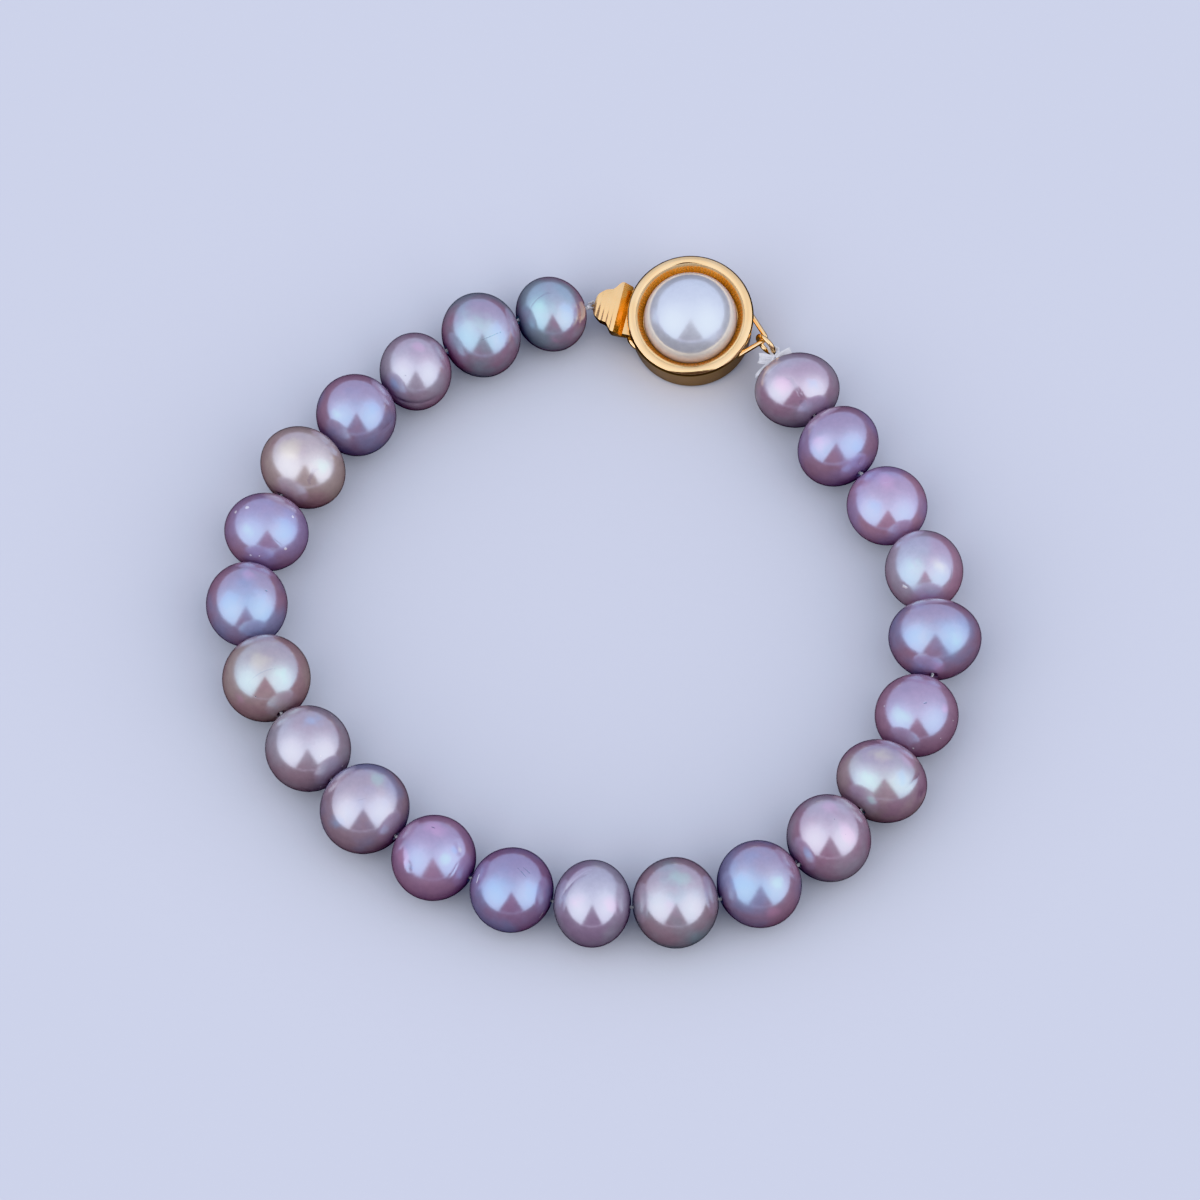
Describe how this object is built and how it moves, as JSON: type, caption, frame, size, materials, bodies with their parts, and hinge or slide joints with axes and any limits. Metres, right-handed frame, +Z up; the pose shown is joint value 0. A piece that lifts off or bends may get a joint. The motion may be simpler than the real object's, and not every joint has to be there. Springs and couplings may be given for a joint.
{
  "type": "pearl bracelet",
  "caption": "Closed bracelet of drilled lavender pearls strung on thread, joined by a round gold box clasp set with a half pearl, a fluted tongue and a jump ring.",
  "frame": {"origin": "on the surface that the bracelet lies on, under the middle of its box", "axes": "+Z up off the surface, +X along the bracelet's longest extent, +Y towards the clasp"},
  "size_m": [0.0722, 0.0708, 0.0088],
  "materials": {
    "pearl": "polished lavender nacre",
    "white_pearl": "polished white nacre",
    "gold": "polished yellow gold",
    "thread": "twisted silk"
  },
  "bodies": {
    "root": {"pearl_01": "pearl", "pearl_02": "pearl", "pearl_03": "pearl", "pearl_04": "pearl", "pearl_05": "pearl", "pearl_06": "pearl", "pearl_07": "pearl", "pearl_08": "pearl", "pearl_09": "pearl", "pearl_10": "pearl", "pearl_11": "pearl", "pearl_12": "pearl", "pearl_13": "pearl", "pearl_14": "pearl", "pearl_15": "pearl", "pearl_16": "pearl", "pearl_17": "pearl", "pearl_18": "pearl", "pearl_19": "pearl", "pearl_20": "pearl", "pearl_21": "pearl", "pearl_22": "pearl", "pearl_23": "pearl", "thread": "thread", "clasp_box": "gold", "clasp_pearl": "white_pearl", "clasp_tongue": "gold", "jump_ring": "gold"}
  },
  "joints": []
}
